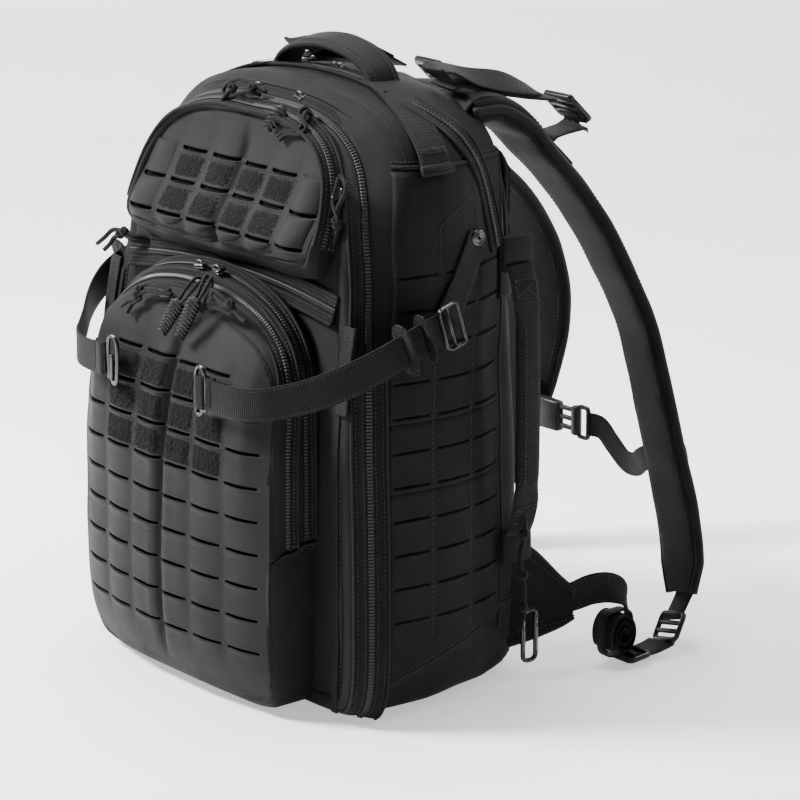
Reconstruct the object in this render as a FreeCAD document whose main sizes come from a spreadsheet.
import FreeCAD, Part
import math
import os
import Sketcher

# A backpack standing upright, in millimetres. It stands on z = 0 with z up and is
# centred on x = 0. The pockets face -y and the shoulder straps are on the +y side,
# so +x is the wearer's right.

V = FreeCAD.Vector
doc = FreeCAD.newDocument("backpack")
sheet = doc.addObject("Spreadsheet::Sheet", "params")

# alias, value, note
DIMENSIONS = [
    ("body_half_width", 174, "half width of the main compartment low down"),
    ("body_top_half", 147, "half width of the main compartment near its top"),
    ("body_height", 454, "top of the main compartment"),
    ("back_plane", 109, "rear face of the main compartment"),
    ("split_low", -52, "zip line of the front panel at the bottom"),
    ("split_high", -15, "zip line of the front panel near the top"),
    ("fabric", 2.5, "thickness of a padded fabric wall"),
    ("thin_fabric", 1.5, "thickness of a single fabric layer"),
    ("gap", 1.2, "clearance between neighbouring soft parts"),
    ("webbing", 25.4, "webbing width"),
    ("web_thick", 2, "webbing thickness"),
    ("pocket_half", 119, "half width of the lower pocket"),
    ("pocket_face", -117, "front face of the lower pocket"),
    ("pocket_seam", 121, "height where the lower pocket starts to open"),
    ("upper_half", 119, "half width of the upper pocket"),
    ("strap_width", 65, "shoulder strap width"),
    ("strap_thick", 15, "shoulder strap thickness"),
    ("handle_width", 34, "top handle width"),
    ("sheet_thick", 1.6, "frame sheet thickness"),
    ("stay_width", 25, "stay width"),
    ("stay_thick", 3, "stay thickness"),
    ("slider_long", 11, "zip slider length"),
]


class Size:
    """A number with the expression text that gives it from the sheet."""

    def __init__(self, value, text):
        self.value = float(value)
        self.text = text

    def __add__(self, other):
        other = size(other)
        return Size(self.value + other.value, f"({self.text} + {other.text})")

    def __sub__(self, other):
        other = size(other)
        return Size(self.value - other.value, f"({self.text} - {other.text})")

    def __mul__(self, other):
        other = size(other)
        return Size(self.value * other.value, f"({self.text} * {other.text})")

    def __neg__(self):
        return Size(-self.value, f"(-1 * {self.text})")


def size(number):
    if isinstance(number, Size):
        return number
    return Size(number, "(%.4f)" % number if number < 0 else "%.4f" % number)


dims = {}
for row, (alias, value, note) in enumerate(DIMENSIONS, start=2):
    sheet.set(f"A{row}", alias)
    sheet.set(f"B{row}", str(value))
    sheet.set(f"C{row}", note)
    sheet.setAlias(f"B{row}", alias)
    dims[alias] = Size(value, "params." + alias)
doc.recompute()

HALF_WIDTH = dims["body_half_width"]
BACK = dims["back_plane"]
ZIP_LOW = dims["split_low"]
ZIP_HIGH = dims["split_high"]
FABRIC = dims["fabric"]
THIN = dims["thin_fabric"]
GAP = dims["gap"]
WEB = dims["webbing"]
WEB_THICK = dims["web_thick"]
POCKET_FACE = dims["pocket_face"]
SEAM = dims["pocket_seam"]
POCKET_HALF = dims["pocket_half"]
UPPER_HALF = dims["upper_half"]

NARROW_WEB = 22
TAPE_THICK = 1.2  # zip tape and hook-and-loop strips
METAL_THICK = 3  # webbing frames, hooks and bars

# Sketch planes and the columns of the points drawn on them
SIDE_ON = "YZ_Plane"  # (y, z)
FACE_ON = "XZ_Plane"  # (x, z)
FLAT = "XY_Plane"  # (x, y)

pieces = []


# ---- building helpers ----

def piece(obj):
    """Marks an object for export."""
    pieces.append(obj)
    return obj


def add(kind, label, **properties):
    obj = doc.addObject(kind, label)
    obj.Label = label
    for name, value in properties.items():
        setattr(obj, name, value)
    return obj


def sketch(body, name, role, loops):
    """Closed polygons, each vertex held by two driven distances from the origin."""
    drawing = body.newObject("Sketcher::SketchObject", name)
    plane = next(f for f in body.Origin.OriginFeatures if f.Role == role)
    drawing.AttachmentSupport = [(plane, "")]
    drawing.MapMode = "FlatFace"
    for loop in loops:
        points = [(size(a), size(b)) for a, b in loop]
        count = len(points)
        first = drawing.GeometryCount
        for i in range(count):
            start, end = [V(a.value, b.value, 0) for a, b in (points[i], points[(i + 1) % count])]
            drawing.addGeometry(Part.LineSegment(start, end), False)
        for i in range(count):
            drawing.addConstraint(
                Sketcher.Constraint("Coincident", first + i, 2, first + (i + 1) % count, 1))
        for i in range(count):
            for kind, distance in zip(("DistanceX", "DistanceY"), points[i]):
                index = drawing.addConstraint(
                    Sketcher.Constraint(kind, -1, 1, first + i, 1, distance.value))
                if "params" in distance.text:
                    drawing.setExpression(f"Constraints[{index}]", distance.text)
    return drawing


def feature(body, kind, name, role, loops, length):
    """A Pad or Pocket of the loops, centred on their plane."""
    profile = sketch(body, name + "_sketch", role, loops)
    result = body.newObject("PartDesign::" + kind, name)
    result.Profile = profile
    length = size(length)
    result.Length = length.value
    if "params" in length.text:
        result.setExpression("Length", length.text)
    result.Midplane = True


def slab(label, role, outline, depth, place=None, stem=None,
         holes=None, hole_depth=0, hole_name="slot"):
    """A body with one padded outline, cut by any holes; stem names its features."""
    stem = stem or label
    body = add("PartDesign::Body", label)
    feature(body, "Pad", stem + "_pad", role, [outline], depth)
    if holes:
        feature(body, "Pocket", f"{stem}_{hole_name}", role, holes, hole_depth)
    if place is not None:
        body.Placement = place
    return body


def at(x=0, y=0, z=0, axis=(0, 0, 1), degrees=0, centre=(0, 0, 0)):
    """A move, after a turn about an axis through the centre."""
    return FreeCAD.Placement(V(x, y, z), FreeCAD.Rotation(V(*axis), degrees), V(*centre))


def drive_y(obj, y):
    """Places an object along y and ties it to the sheet."""
    obj.Placement = at(y=y.value)
    obj.setExpression("Placement.Base.y", y.text)


def mirrored(source, label):
    return add("Part::Mirroring", label, Source=source, Normal=V(1, 0, 0), Base=V(0, 0, 0))


def group(label, parts):
    """Separate solids exported under one name."""
    return piece(add("Part::Compound", label, Links=parts))


def pair(label, right, left_label):
    """A solid and its mirror image as one piece."""
    return group(label, [right, mirrored(right, left_label)])


def box(a1, b1, a2, b2):
    return [(a1, b1), (a2, b1), (a2, b2), (a1, b2)]


def ribbon(path, thickness):
    """A band of even thickness along a path, with mitred corners."""
    thickness = size(thickness)
    left, right = [], []
    for i, (a, b) in enumerate(path):
        directions = []
        for start, end in zip(path[max(i - 1, 0):i + 1], path[max(i - 1, 0) + 1:i + 2]):
            step = (end[0] - start[0], end[1] - start[1])
            length = math.hypot(*step)
            directions.append((step[0] / length, step[1] / length))
        normal_a = sum(-d[1] for d in directions) / len(directions)
        normal_b = sum(d[0] for d in directions) / len(directions)
        squared = normal_a ** 2 + normal_b ** 2
        normal_a, normal_b = normal_a / squared, normal_b / squared
        left.append((thickness * (normal_a / 2) + a, thickness * (normal_b / 2) + b))
        right.append((thickness * (-normal_a / 2) + a, thickness * (-normal_b / 2) + b))
    return left + right[::-1]


# ---- main compartment and front panel ----

# Front edge of the main compartment along the zip line, (y, z)
ZIP_LINE = [
    (ZIP_LOW + 1, 60), (ZIP_LOW + 5, 205), (ZIP_LOW + 13, 320), (ZIP_LOW + 23, 362),
    (ZIP_HIGH - 6, 388), (ZIP_HIGH, 410), (ZIP_HIGH + 3, 440),
]
# Front face of the front panel, (y, z)
PANEL_FACE = [
    (ZIP_LOW - 11, 60), (ZIP_LOW - 8, 205), (ZIP_LOW + 2, 318), (ZIP_LOW + 14, 362),
    (ZIP_HIGH - 15, 388), (ZIP_HIGH - 9, 410), (ZIP_HIGH - 5.5, 436),
]


def face_outline(inset, panel=False):
    """The bag from the front, (x, z); the panel is narrower towards its top."""
    inset = size(inset)
    side = HALF_WIDTH - inset
    shoulder = dims["body_top_half"] - inset
    top = dims["body_height"] - inset
    right = [(side - 18, inset + 2), (side - 4, inset + 16), (side, 60), (side - 7.5, 205)]
    if panel:
        right += [
            (side - 15, 320), (side - 33, 362), (side - 47, 388), (side - 63, 408),
            (side - 76, 421), (side - 96, 431), (side - 124, top - 16), (side - 140, top - 14),
        ]
    else:
        right += [
            (side - 13.5, 320), (shoulder + 9, 362), (shoulder, 400), (shoulder - 11, 420),
            (shoulder - 32, top - 18), (shoulder - 62, top - 8), (shoulder - 97, top - 2),
            (shoulder - 120, top),
        ]
    return right + [(-x, z) for x, z in reversed(right)]


def side_outline(inset, shift):
    """The main compartment from the side, (y, z); shift moves only the front edge."""
    inset = size(inset)
    rear = BACK - inset
    top = dims["body_height"] - inset
    return [
        (ZIP_LOW + shift, inset + 2), (rear - 14, inset + 2), (rear - 4, inset + 26),
        (rear, inset + 120), (rear, 418), (rear - 10, top - 14), (rear - 36, top - 2),
        (38, top), (12, top - 7),
    ] + [(y + shift, z) for y, z in reversed(ZIP_LINE)]


def two_way(name, side, face):
    """A solid with one outline from the side and another from the front."""
    across = slab(name + "_side", SIDE_ON, side, HALF_WIDTH * 2 + 40)
    through = slab(name + "_face", FACE_ON, face, 700)
    return add("Part::MultiCommon", name, Shapes=[across, through])


# The hollow runs out past the zip line, which leaves the shell open at the front
shell_outer = two_way("shell_outer", side_outline(0, 0), face_outline(0))
shell_inner = two_way("shell_inner", side_outline(FABRIC, -8), face_outline(FABRIC))
piece(add("Part::Cut", "main_shell", Base=shell_outer, Tool=shell_inner))

# The front panel is a shallow tray, open to the rear
PANEL_SIDE = (
    [(ZIP_LOW - 14, 6), (ZIP_LOW - GAP, 4)]
    + [(y - GAP, z) for y, z in ZIP_LINE]
    + PANEL_FACE[::-1]
)
PANEL_HOLLOW = [
    (ZIP_LOW - 14 + FABRIC, 8.5), (ZIP_LOW + 20, 7), (ZIP_LOW + 24, 60), (ZIP_LOW + 30, 320),
    (ZIP_HIGH + 26, 400), (ZIP_HIGH + 26, 436.8), (ZIP_HIGH - 2, 435.5),
] + [(y + FABRIC, z - 1) for y, z in reversed(PANEL_FACE)]
panel_outer = two_way("panel_outer", PANEL_SIDE, face_outline(0, panel=True))
panel_inner = two_way("panel_inner", PANEL_HOLLOW, face_outline(FABRIC, panel=True))
piece(add("Part::Cut", "front_panel", Base=panel_outer, Tool=panel_inner))

# Mesh pockets inside the front panel
piece(slab("mesh_pocket_lower", FACE_ON, box(-120, 40, 120, 190), THIN, at(y=-46)))
piece(slab("mesh_pocket_upper", FACE_ON,
           [(-116, 215), (116, 215), (112, 350), (-112, 350)], THIN, at(y=-31)))


# ---- inside the rear of the main compartment ----

SHEET_OUTLINE = [(-118, 40), (118, 40), (118, 408), (96, 426), (-96, 426), (-118, 408)]
frame_sheet = piece(slab("frame_sheet", FACE_ON, SHEET_OUTLINE, dims["sheet_thick"]))
drive_y(frame_sheet, BACK - FABRIC - GAP - 6)

STAY_X = 60  # inner edge of each stay
stay = slab("stay_bar", FACE_ON, box(STAY_X, 44, dims["stay_width"] + STAY_X, 416),
            dims["stay_thick"])
drive_y(stay, BACK - 13.5)
pair("aluminium_stays", stay, "stay_bar_left")

DIVIDER_OUTLINE = [(-140, 30), (140, 30), (132, 390), (108, 430), (-108, 430), (-132, 390)]
piece(slab("rear_divider", FACE_ON, DIVIDER_OUTLINE, THIN, at(y=71)))

# The hollow passes the sleeve's top edge, so the sleeve is open there
piece(slab("hydration_sleeve", FACE_ON, box(-88, 60, 88, 360), 16, at(y=83), stem="sleeve",
           holes=[box(-86, 62, 86, 372)], hole_depth=13, hole_name="hollow"))


# ---- back panel and its pads ----

BACK_PANEL_SIDE = [
    (BACK + GAP, 10), (BACK + 6, 30), (BACK + 9, 120),
    (BACK + 9, 385), (BACK + 5, 412), (BACK + GAP, 416),
]
piece(slab("back_panel", SIDE_ON, BACK_PANEL_SIDE, 264))


def back_pad(label, x1, x2, z1, z2, thickness):
    """A pad with its rear edges bevelled along the top and bottom."""
    front = BACK + 10.5
    rear = front + thickness
    side = [(front, z1), (rear - 5, z1), (rear, z1 + 8),
            (rear, z2 - 8), (rear - 5, z2), (front, z2)]
    piece(slab(label, SIDE_ON, side, x2 - x1, at((x1 + x2) / 2)))


back_pad("back_pad_right", 18, 118, 190, 405, thickness=13)
back_pad("back_pad_left", -118, -18, 190, 405, thickness=13)
back_pad("lumbar_pad", -122, 122, 52, 172, thickness=15)


# ---- sides and base ----

def leaned(x):
    """Leans a flat side part inwards, about a line at z = 60, to follow the body."""
    return at(x, axis=(0, 1, 0), degrees=-2.97, centre=(0, 0, 60))


SIDE_PANEL = [(-34, 78), (62, 84), (80, 100), (82, 320), (-20, 328), (-28, 205)]
side_panel = piece(slab("side_panel_right", SIDE_ON, SIDE_PANEL, THIN, leaned(177),
                        stem="side_panel"))
piece(mirrored(side_panel, "side_panel_left"))

piece(slab("kick_panel", FLAT, box(-150, -40, 150, 84), THIN, at(z=THIN.value / 2)))

TAPE_X = 176.4
MAIN_TAPE = [
    (ZIP_LOW + 2.5, 62), (ZIP_LOW + 14, 62), (ZIP_LOW + 18, 205),
    (ZIP_LOW + 26, 318), (ZIP_LOW + 15, 318), (ZIP_LOW + 7, 205),
]
REAR_TAPE = ribbon([(99, 250), (98, 340), (94, 380), (90, 394)], 8)
main_tape = slab("zip_tape_right", SIDE_ON, MAIN_TAPE, TAPE_THICK, leaned(TAPE_X))
pair("main_zip_tape", main_tape, "zip_tape_left")
rear_tape = slab("rear_zip_right", SIDE_ON, REAR_TAPE, TAPE_THICK, leaned(TAPE_X))
pair("rear_zip_tape", rear_tape, "rear_zip_left")


# ---- lower and upper pockets ----

def tray(label, outer, inner, half):
    """A side outline padded to full width and hollowed between two end walls."""
    piece(slab(label, SIDE_ON, outer, half * 2, holes=[inner],
               hole_depth=half * 2 - THIN * 2, hole_name="hollow"))


def from_face(points):
    """Turns (distance behind the lower pocket's face, z) into (y, z)."""
    return [(POCKET_FACE + depth, z) for depth, z in points]


# The lower pocket is a bin with two sections above it, one behind the other
tray("lower_pocket_bin",
     from_face([(50, 7), (22, 4), (6, 14), (0, 40), (0, SEAM - 1), (20, SEAM + 3),
                (49, SEAM + 11)]),
     from_face([(47.5, 9), (23, 6), (8, 16), (2, 41), (2, SEAM + 10), (20, SEAM + 14),
                (47, SEAM + 20)]),
     POCKET_HALF)
tray("lower_pocket_face",
     from_face([(0, SEAM + 1), (20, SEAM + 5), (22, 240), (27, 280), (33, 303), (27, 292),
                (19, 268), (11, 236), (3, 180)]),
     from_face([(2, SEAM + 3), (30, SEAM + 3), (32, 240), (38, 285), (38, 300), (32, 298),
                (28.6, 291), (20.8, 267.3), (13, 235.5), (5, 180)]),
     POCKET_HALF - 3)
tray("lower_pocket_middle",
     from_face([(21.5, SEAM + 6), (47, SEAM + 12), (48, 240), (50, 318), (40, 317),
                (34.8, 306), (28.6, 280), (23.6, 240)]),
     from_face([(23, SEAM + 8), (60, SEAM + 14), (60, 240), (60, 316), (41, 315.3),
                (36.3, 305.5), (30.1, 279.7), (25.1, 240)]),
     POCKET_HALF)

# The upper pocket is a face in front of a bent backing with a lip along its bottom
UPPER_BASE = [
    (-44.5, 349), (-49, 333.5), (-66, 331.5), (-68.5, 338), (-67, 339), (-64.8, 334.5),
    (-50.5, 336.2), (-46.5, 350), (-41.4, 364), (-33.4, 388), (-27.4, 410), (-24, 436),
    (-22, 436), (-25.5, 410), (-31.5, 388), (-39.5, 364),
]
UPPER_FACE = [
    (-68.5, 340.2), (-57, 352), (-44, 374), (-36.5, 396), (-31, 420), (-27.5, 437),
    (-25.6, 437), (-28.8, 410), (-34.8, 388.5), (-42.8, 364.5), (-48, 350.5), (-52, 341.5),
]
UPPER_HOLLOW = [
    (-66.6, 340), (-55.3, 352.5), (-42.6, 374.8), (-35, 396.5), (-29.5, 420.2), (-26.5, 435),
    (-20, 435), (-24, 410), (-30, 388), (-38, 364), (-43, 349), (-49, 338),
]
piece(slab("upper_pocket_base", SIDE_ON, UPPER_BASE, UPPER_HALF * 2 - 8))
tray("upper_pocket_face", UPPER_FACE, UPPER_HOLLOW, UPPER_HALF)

# Hook-and-loop rows on the pocket faces: y, z, turn about x
LOWER_ROWS = [(-109.7, 242, -13), (-114.3, 214, -8.5), (-116.6, 187, -8)]
UPPER_ROWS = [(-51.7, 363.6, -30.6), (-41.3, 386.4, -18.8)]
STRIP_LENGTH = 74
STRIP_INNER_X = 2


def loop_strips(label, stem, half_height, rows):
    """Two strips to a row, one each side of the middle."""
    strips = []
    for index, (y, z, turn) in enumerate(rows):
        for side, start in (("r", STRIP_INNER_X), ("l", -STRIP_INNER_X - STRIP_LENGTH)):
            outline = box(start, -half_height, start + STRIP_LENGTH, half_height)
            strips.append(slab(f"{stem}_{index}{side}", FACE_ON, outline, TAPE_THICK,
                               at(0, y, z, (1, 0, 0), turn)))
    group(label, strips)


loop_strips("lower_loop_strips", "loop_low", 11, LOWER_ROWS)
loop_strips("upper_loop_strips", "loop_up", 9, UPPER_ROWS)


# ---- carry handles ----

TOP_HANDLE = [(-60, 465), (-46, 470), (-26, 475), (0, 477.5), (26, 475), (46, 470), (60, 465)]
HANDLE_LEG = [(72, 453), (100, 446.5), (119, 438.5), (139.5, 423.5), (150, 405)]
SIDE_HANDLE = [(99, 330), (99, 322), (100, 200), (99, 128), (99, 120)]
piece(slab("top_handle", FACE_ON, ribbon(TOP_HANDLE, 7), dims["handle_width"], at(y=52)))
leg = slab("handle_leg", FACE_ON, ribbon(HANDLE_LEG, WEB_THICK), WEB, at(y=30))
pair("handle_webbing", leg, "handle_leg_left")
side_handle = piece(slab("side_handle_right", SIDE_ON, ribbon(SIDE_HANDLE, 9), 26, at(188)))
piece(mirrored(side_handle, "side_handle_left"))


# ---- yoke, shoulder straps and load lifters ----

piece(slab("yoke_panel", SIDE_ON, ribbon([(113, 448), (126, 446), (138, 441)], 7), 210))

# Centre lines from the yoke down, (y, z)
RIGHT_STRAP = [
    (146, 441), (166, 419), (194, 368), (218, 331), (234, 295), (247, 255),
    (253, 215), (257, 168), (265, 112), (266, 72), (260, 40), (252, 30),
]
LEFT_STRAP = [
    (146, 441), (175, 424), (235, 386), (285, 338), (315, 290), (332, 240),
    (336, 192), (330, 150), (318, 112), (303, 72), (288, 40), (280, 30),
]


def shoulder_strap(label, path, x, swing):
    """A strap swung sideways about its top, drawn longer so its heights still hold."""
    top = path[0][1]
    stretch = 1 / math.cos(math.radians(swing))
    drawn = [(y, top + (z - top) * stretch) for y, z in path]
    piece(slab(label, SIDE_ON, ribbon(drawn, dims["strap_thick"]), dims["strap_width"],
               at(x, axis=(0, 1, 0), degrees=-swing, centre=(0, 0, top))))


shoulder_strap("shoulder_strap_right", RIGHT_STRAP, x=86, swing=12.3)
shoulder_strap("shoulder_strap_left", LEFT_STRAP, x=-86, swing=-6)

LIFTER = [(112, 459), (146, 462), (172, 457)]
lifter = slab("lifter_web", SIDE_ON, ribbon(LIFTER, WEB_THICK), WEB, at(100))
pair("load_lifter_webbing", lifter, "lifter_web_left")

BUCKLE_HALF_WIDTH = 19
BUCKLE_HALF_LENGTH = 15
BUCKLE_THICK = 5
BUCKLE_CORNER = 3


def buckle(label, x, y, z, turn):
    """A frame with cut corners and a middle bar, turned about x."""
    wide, long = BUCKLE_HALF_WIDTH, BUCKLE_HALF_LENGTH
    short_wide, short_long = wide - BUCKLE_CORNER, long - BUCKLE_CORNER
    outline = [
        (-wide, -short_long), (-short_wide, -long), (short_wide, -long), (wide, -short_long),
        (wide, short_long), (short_wide, long), (-short_wide, long), (-wide, short_long),
    ]
    slots = [box(5 - wide, 3, wide - 5, long - 4), box(5 - wide, 4 - long, wide - 5, -3)]
    piece(slab(label, FLAT, outline, BUCKLE_THICK, at(x, y, z, (1, 0, 0), turn),
               holes=slots, hole_depth=BUCKLE_THICK * 2))


buckle("load_lifter_buckle_right", 100, 205, 440, -38)
buckle("load_lifter_buckle_left", -90, 222, 436, -35)
buckle("strap_buckle_right", 178, 246, 8, 14)
buckle("strap_buckle_left", -134, 273, 10, 14)


# ---- compression straps ----

def metal_loop(label, stem, role, outline, slot, place):
    """A flat metal loop around one slot."""
    return slab(label, role, outline, METAL_THICK, place, stem,
                holes=[slot], hole_depth=METAL_THICK * 2)


FRAME_X = 168.4
FRAME = [(10, 281), (24, 278), (28, 308), (14, 314)]
FRAME_SLOT = [(13.5, 284), (21.5, 282), (24.5, 305), (16.5, 309)]
ANCHOR = [(30, 284), (50, 300), (62, 345), (46, 352), (31, 312)]
COMPRESSION_WEB = [(66, 0), (112, 1), (126, 11), (150, 38), (165, 56), (171, 72), (170, 122)]

frame = metal_loop("compression_frame_right", "frame", SIDE_ON, FRAME, FRAME_SLOT, at(FRAME_X))
pair("compression_frames", frame, "compression_frame_left")
anchor = slab("anchor_right", SIDE_ON, ANCHOR, WEB_THICK, at(FRAME_X))
pair("compression_anchors", anchor, "anchor_left")
front_web = slab("compression_web_front", FLAT, ribbon(COMPRESSION_WEB, WEB_THICK), WEB,
                 at(0, -120, 246, (1, 0, 0), 22))
pair("compression_webbing", front_web, "compression_web_left")
hook = metal_loop("hook_right", "hook", FACE_ON, box(48, 229, 64, 264),
                  box(51, 232, 61, 261), at(y=-119.5))
pair("compression_hooks", hook, "hook_left")


# ---- lower wings and adjusting webbing ----

WING = [(111, 26), (118, 24), (146, 46), (146, 54), (118, 112), (111, 112)]
LOWER_WEB = [(160, 149), (166, 165), (172, 182), (178, 196)]
TAIL = [(176, 6), (186, 6), (190, 40), (178, 40)]
STRAP_WEB = [(196, 5), (214, 5), (232, 9)]
STRAP_FOOT_X = 186

wing = slab("wing_right", SIDE_ON, WING, 4, at(158))
pair("lower_wings", wing, "wing_left")
wing_bar = metal_loop("wing_bar_right", "bar", SIDE_ON, box(93, 22, 103, 60),
                      box(96, 25, 100, 57), at(178))
pair("wing_bars", wing_bar, "wing_bar_left")
lower_web = slab("lower_web_right", FLAT, ribbon(LOWER_WEB, WEB_THICK), NARROW_WEB, at(z=52))
pair("lower_webbing", lower_web, "lower_web_left")
tail = slab("tail_right", SIDE_ON, TAIL, 20, at(STRAP_FOOT_X))
pair("webbing_tails", tail, "tail_left")
strap_web = slab("strap_web_right_solid", SIDE_ON, ribbon(STRAP_WEB, WEB_THICK), WEB,
                 at(STRAP_FOOT_X))
pair("strap_webbing", strap_web, "strap_webbing_left_solid")


# ---- sternum strap: two webbings and a side-release buckle ----

STERNUM_RIGHT = [(88, 148), (60, 142), (34, 145)]
STERNUM_LEFT = [(-84, 129), (-68, 130)]
STERNUM_BUCKLE_Y = 306

piece(slab("sternum_webbing_right", FACE_ON, ribbon(STERNUM_RIGHT, WEB_THICK), NARROW_WEB,
           at(y=296)))
piece(slab("sternum_webbing_left", FACE_ON, ribbon(STERNUM_LEFT, WEB_THICK), NARROW_WEB,
           at(y=312)))
piece(slab("sternum_buckle_socket", FACE_ON, box(-66, 120, -24, 146), 10,
           at(y=STERNUM_BUCKLE_Y), stem="socket",
           holes=[box(-48, 123, -10, 143)], hole_depth=6, hole_name="hollow"))
plug = piece(slab("sternum_buckle_plug", FACE_ON, box(-23, 121, 6, 147), 9, stem="plug"))
feature(plug, "Pad", "plug_tongue", FACE_ON, [box(-46, 125, -23, 141)], 4)
plug.Placement = at(y=STERNUM_BUCKLE_Y)


# ---- zip sliders ----

# label, x, y, z, turn about x, roll about the slider's own y
SLIDERS = [
    ("main_slider_right", 32, -4.9, 445.6, 16, 0),
    ("main_slider_left", -20, -4.9, 445.6, 16, 0),
    ("pocket_front_slider_right", 14, -89.8, 299, 61, 0),
    ("pocket_front_slider_left", -26, -89.8, 299, 61, 0),
    ("pocket_rear_slider_right", 20, -74, 321, 0, 0),
    ("pocket_rear_slider_left", -2, -74, 321, 0, 0),
    ("upper_slider_right", 121.2, -37, 392, -20.4, 90),
    ("upper_slider_left", -121.2, -37, 392, -20.4, -90),
    ("rear_slider", 0, 52, 457.2, 0, 0),
]


def slider(label, x, y, z, turn, roll):
    """A tapered slider with a bridge for its pull."""
    end = dims["slider_long"] * 0.5
    body = piece(slab(label, FLAT, [(-end, -3), (end, -4.5), (end, 4.5), (-end, 3)], 3))
    feature(body, "Pad", label + "_bridge", FACE_ON, [box(-3, 1, 3, 5)], 3)
    body.Placement = at(x, y, z, (1, 0, 0), turn).multiply(at(axis=(0, 1, 0), degrees=roll))


for entry in SLIDERS:
    slider(*entry)


# ---- checks and export ----

doc.recompute()
os.makedirs("parts", exist_ok=True)
failed = [o.Name for o in doc.Objects if any(s in ("Invalid", "Error") for s in o.State)]
if failed:
    raise RuntimeError("not computed: " + ", ".join(failed))
labels = set()
for obj in pieces:
    shape = obj.Shape
    if shape.isNull() or not shape.isValid() or not shape.Solids:
        raise RuntimeError("bad shape: " + obj.Label)
    if obj.Label in labels:
        raise RuntimeError("two parts named " + obj.Label)
    labels.add(obj.Label)
    shape.exportStep("parts/" + obj.Label + ".step")
